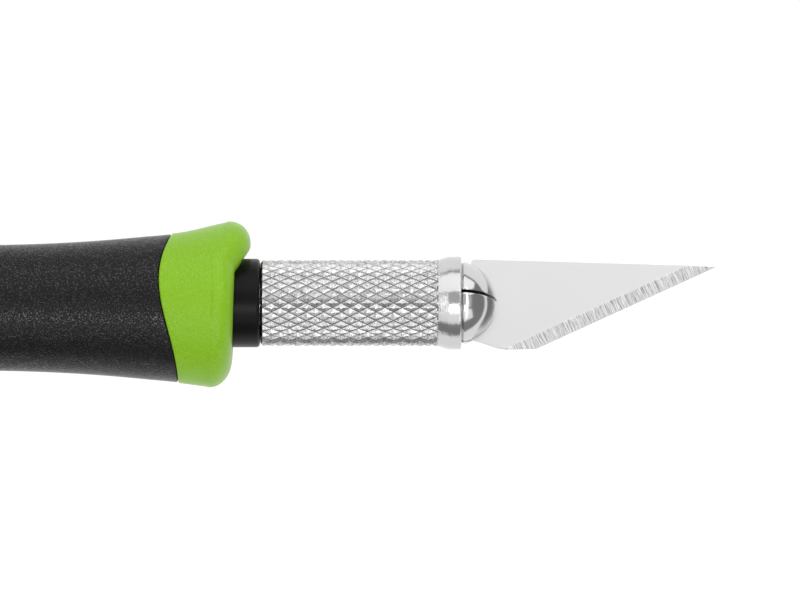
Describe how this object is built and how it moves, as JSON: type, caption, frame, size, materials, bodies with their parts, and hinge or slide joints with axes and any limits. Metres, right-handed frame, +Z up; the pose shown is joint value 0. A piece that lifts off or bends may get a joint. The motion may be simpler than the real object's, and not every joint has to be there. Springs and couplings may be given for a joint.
{
  "type": "hobby craft knife",
  "caption": "Precision craft knife: oval soft-grip handle with a finger guard, knurled collet chuck and a pointed straight-edge blade that can be changed.",
  "frame": {"origin": "centre of the butt plug's flat face, on the chuck axis", "axes": "+X along the chuck axis from the butt to the blade tip, +Y to the side of the blade's back, +Z up from the surface that the knife lies on, on its broad side"},
  "size_m": [0.1649, 0.017, 0.015],
  "materials": {
    "core_plastic": "satin",
    "grip_rubber": "matte",
    "guard_plastic": "matte",
    "brass": "satin",
    "nut_aluminium": "satin",
    "collet_steel": "polished",
    "blade_steel": "satin"
  },
  "bodies": {
    "handle": {"handle_core": "core_plastic", "grip_sleeve": "grip_rubber", "finger_guard": "guard_plastic", "end_plug": "core_plastic", "thread_insert": "brass"},
    "nut": {"chuck_nut": "nut_aluminium"},
    "collet": {"collet_shank": "collet_steel"},
    "jaw_back_upper": {"jaw_back_upper": "collet_steel"},
    "jaw_back_lower": {"jaw_back_lower": "collet_steel"},
    "jaw_edge_upper": {"jaw_edge_upper": "collet_steel"},
    "jaw_edge_lower": {"jaw_edge_lower": "collet_steel"},
    "blade": {"blade": "blade_steel"}
  },
  "joints": [
    {"name": "nut_turn", "type": "hinge", "parent": "handle", "child": "nut", "pos_m": [0.118, 0, 0], "axis": [1, 0, 0], "range_deg": [0, 720]},
    {"name": "collet_draw", "type": "slide", "parent": "nut", "child": "collet", "axis": [1, 0, 0], "range_m": [0, 0.0016]},
    {"name": "jaw_back_upper_open", "type": "hinge", "parent": "collet", "child": "jaw_back_upper", "pos_m": [0.1205, 0.00266, 0.00138], "axis": [0, -0.4617, 0.887], "range_deg": [0, 0.9]},
    {"name": "jaw_back_lower_open", "type": "hinge", "parent": "collet", "child": "jaw_back_lower", "pos_m": [0.1205, 0.00138, -0.00266], "axis": [0, 0.887, 0.4617], "range_deg": [0, 0.9]},
    {"name": "jaw_edge_upper_open", "type": "hinge", "parent": "collet", "child": "jaw_edge_upper", "pos_m": [0.1205, -0.00138, 0.00266], "axis": [0, -0.887, -0.4617], "range_deg": [0, 0.9]},
    {"name": "jaw_edge_lower_open", "type": "hinge", "parent": "collet", "child": "jaw_edge_lower", "pos_m": [0.1205, -0.00266, -0.00138], "axis": [0, 0.4617, -0.887], "range_deg": [0, 0.9]},
    {"name": "blade_slide", "type": "slide", "parent": "collet", "child": "blade", "axis": [1, 0, 0], "range_m": [0, 0.0215]}
  ],
  "couplings": [
    {"joint": "nut_turn", "follows": "collet_draw", "rad_per_m": 7854},
    {"joint": "jaw_back_upper_open", "follows": "collet_draw", "rad_per_m": 9.817},
    {"joint": "jaw_back_lower_open", "follows": "collet_draw", "rad_per_m": 9.817},
    {"joint": "jaw_edge_upper_open", "follows": "collet_draw", "rad_per_m": 9.817},
    {"joint": "jaw_edge_lower_open", "follows": "collet_draw", "rad_per_m": 9.817}
  ]
}
